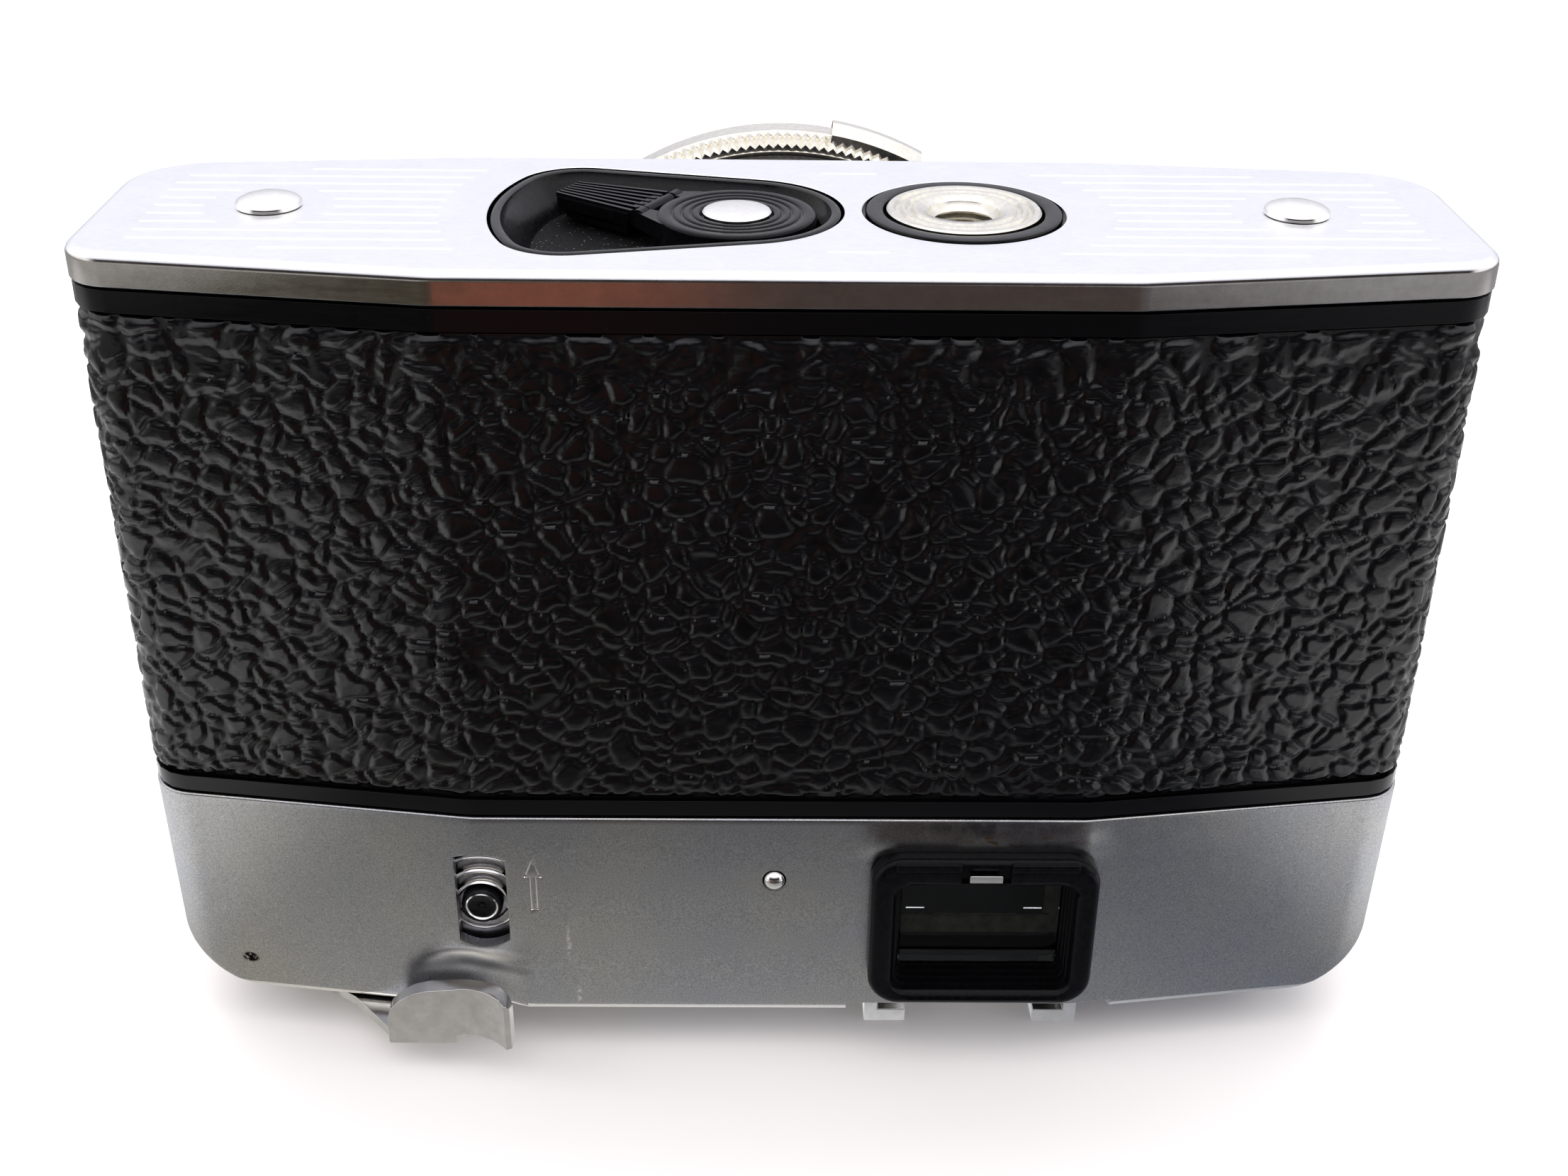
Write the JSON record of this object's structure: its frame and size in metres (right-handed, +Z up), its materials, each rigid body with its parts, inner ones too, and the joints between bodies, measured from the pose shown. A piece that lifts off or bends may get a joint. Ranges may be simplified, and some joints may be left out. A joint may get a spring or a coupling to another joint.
{
  "type": "compact viewfinder camera",
  "caption": "Compact fixed-lens film camera standing on its top: leather-covered hinged back, satin covers, rewind crank in the base, accessory shoe and serrated lens ring.",
  "frame": {"origin": "middle of the bounding box, on the plane that the shoe rails and the lever hub rest on", "axes": "+X to the right seen from the back, +Y out of the lens, +Z up towards the base plate: the camera stands upside down"},
  "size_m": [0.118, 0.0542, 0.0815],
  "materials": {
    "satin_chrome": "fine sandblasted satin chrome, slightly worn",
    "base_plate": "satin anodised, polished side band",
    "black_casting": "black enamel",
    "gloss_black": "glossy black enamel",
    "leather": "coarse pebbled grain, matt",
    "polished_steel": "polished",
    "bright_alloy": "machined, bright",
    "brass": "bare, cut gear teeth",
    "spring_steel": "bare",
    "black_plastic": "moulded, satin",
    "recess_plastic": "moulded, glossy walls, rough floor",
    "black_anodised": "black anodised",
    "glass": "coated glass",
    "foam": "foam strip"
  },
  "bodies": {
    "camera": {"top_cover": "satin_chrome", "base_cover": "base_plate", "base_foot_left": "polished_steel", "base_foot_right": "polished_steel", "body_casting": "black_casting", "front_leather_left": "leather", "front_leather_right": "leather", "hinge_pin": "spring_steel", "tripod_plate": "spring_steel", "tripod_bush": "bright_alloy", "tripod_ring": "recess_plastic", "crank_recess": "recess_plastic", "counter_window": "glass", "release_collar": "bright_alloy", "release_bracket": "spring_steel", "release_spring": "spring_steel", "accessory_shoe": "polished_steel", "shoe_contact": "brass", "eyepiece_frame": "black_plastic", "eyepiece_glass": "glass", "eyepiece_catch": "spring_steel", "viewfinder_housing": "black_plastic", "viewfinder_objective": "glass", "front_window_frame": "black_plastic", "viewfinder_front_window": "glass", "indicator_pin": "polished_steel", "lens_barrel": "black_anodised", "shutter_housing": "black_anodised", "shutter_blades": "spring_steel", "rear_lens_cell": "black_anodised", "rear_lens_element": "glass", "front_bezel": "black_anodised", "front_lens_element": "glass"},
    "back": {"back_door": "gloss_black", "back_leather": "leather", "light_seal_hinge": "foam", "light_seal_latch": "foam", "pressure_spring": "spring_steel"},
    "pressure_plate": {"pressure_plate": "black_anodised"},
    "latch": {"door_latch": "black_plastic"},
    "crank": {"crank_hub": "black_plastic", "crank_cap": "polished_steel", "crank_hinge_pin": "spring_steel", "crank_gear": "brass"},
    "crank_handle": {"crank_handle": "black_plastic"},
    "idler_1": {"idler_gear_1": "brass"},
    "idler_2": {"idler_gear_2": "brass"},
    "fork": {"fork_gear": "brass", "rewind_fork": "spring_steel"},
    "lever": {"advance_lever": "polished_steel", "lever_hub_cap": "bright_alloy", "lever_shaft": "spring_steel"},
    "take_up": {"take_up_spool": "black_plastic"},
    "sprocket": {"sprocket_shaft": "bright_alloy"},
    "counter": {"frame_counter_dial": "black_plastic"},
    "button": {"release_button": "polished_steel"},
    "slider": {"rewind_slider": "spring_steel"},
    "focus": {"focus_ring": "bright_alloy"},
    "exposure": {"exposure_ring": "black_anodised"}
  },
  "joints": [
    {"name": "back_hinge", "type": "hinge", "parent": "camera", "child": "back", "pos_m": [-0.0576, -0.00495, 0.0525], "axis": [0, 0, -1], "range_deg": [0, 100]},
    {"name": "plate_press", "type": "slide", "parent": "back", "child": "pressure_plate", "axis": [0, -1, 0], "range_m": [0, 0.0003], "stiffness_N_per_m": 150},
    {"name": "latch_slide", "type": "slide", "parent": "camera", "child": "latch", "axis": [0, 0, 1], "range_m": [0, 0.003], "stiffness_N_per_m": 60},
    {"name": "crank_turn", "type": "hinge", "parent": "camera", "child": "crank", "pos_m": [-0.0041, -0.00595, 0.078], "axis": [0, 0, 1], "range_deg": [0, 55]},
    {"name": "crank_fold", "type": "hinge", "parent": "crank", "child": "crank_handle", "pos_m": [-0.01111, -0.0023, 0.0793], "axis": [0.4617, 0.887, 0], "range_deg": [0, 95]},
    {"name": "idler_1_turn", "type": "hinge", "parent": "camera", "child": "idler_1", "pos_m": [0.0106, -0.00595, 0.075], "axis": [0, 0, 1], "range_deg": [-60, 60]},
    {"name": "idler_2_turn", "type": "hinge", "parent": "camera", "child": "idler_2", "pos_m": [0.0253, -0.00595, 0.075], "axis": [0, 0, 1], "range_deg": [-60, 60]},
    {"name": "fork_turn", "type": "hinge", "parent": "camera", "child": "fork", "pos_m": [0.04, -0.00595, 0.075], "axis": [0, 0, 1], "range_deg": [-60, 60]},
    {"name": "lever_stroke", "type": "hinge", "parent": "camera", "child": "lever", "pos_m": [-0.043, -0.00595, 0.003], "axis": [0, 0, -1], "range_deg": [0, 135], "stiffness_Nm_per_rad": 0.006},
    {"name": "sprocket_turn", "type": "hinge", "parent": "camera", "child": "sprocket", "pos_m": [-0.0264, -0.01165, 0.0525], "axis": [0, 0, 1], "continuous": true},
    {"name": "take_up_turn", "type": "hinge", "parent": "camera", "child": "take_up", "pos_m": [-0.043, -0.00595, 0.0525], "axis": [0, 0, 1], "continuous": true},
    {"name": "counter_turn", "type": "hinge", "parent": "camera", "child": "counter", "pos_m": [-0.006, -0.00425, 0.0065], "axis": [0, 0, 1], "continuous": true},
    {"name": "release_press", "type": "slide", "parent": "camera", "child": "button", "axis": [0, 0, 1], "range_m": [0, 0.0012], "stiffness_N_per_m": 120, "deforming": ["release_spring"]},
    {"name": "rewind_release", "type": "slide", "parent": "camera", "child": "slider", "axis": [0, 0, 1], "range_m": [0, 0.0035]},
    {"name": "focus_turn", "type": "hinge", "parent": "camera", "child": "focus", "pos_m": [0, 0.01875, 0.0525], "axis": [0, 1, 0], "range_deg": [-60, 60]},
    {"name": "exposure_turn", "type": "hinge", "parent": "camera", "child": "exposure", "pos_m": [0, 0.02275, 0.0525], "axis": [0, 1, 0], "range_deg": [-45, 45]}
  ],
  "couplings": [
    {"joint": "idler_1_turn", "follows": "crank_turn", "ratio": -1},
    {"joint": "idler_2_turn", "follows": "crank_turn", "ratio": 1},
    {"joint": "fork_turn", "follows": "crank_turn", "ratio": -1},
    {"joint": "sprocket_turn", "follows": "take_up_turn", "ratio": 1},
    {"joint": "counter_turn", "follows": "take_up_turn", "ratio": -0.025}
  ]
}
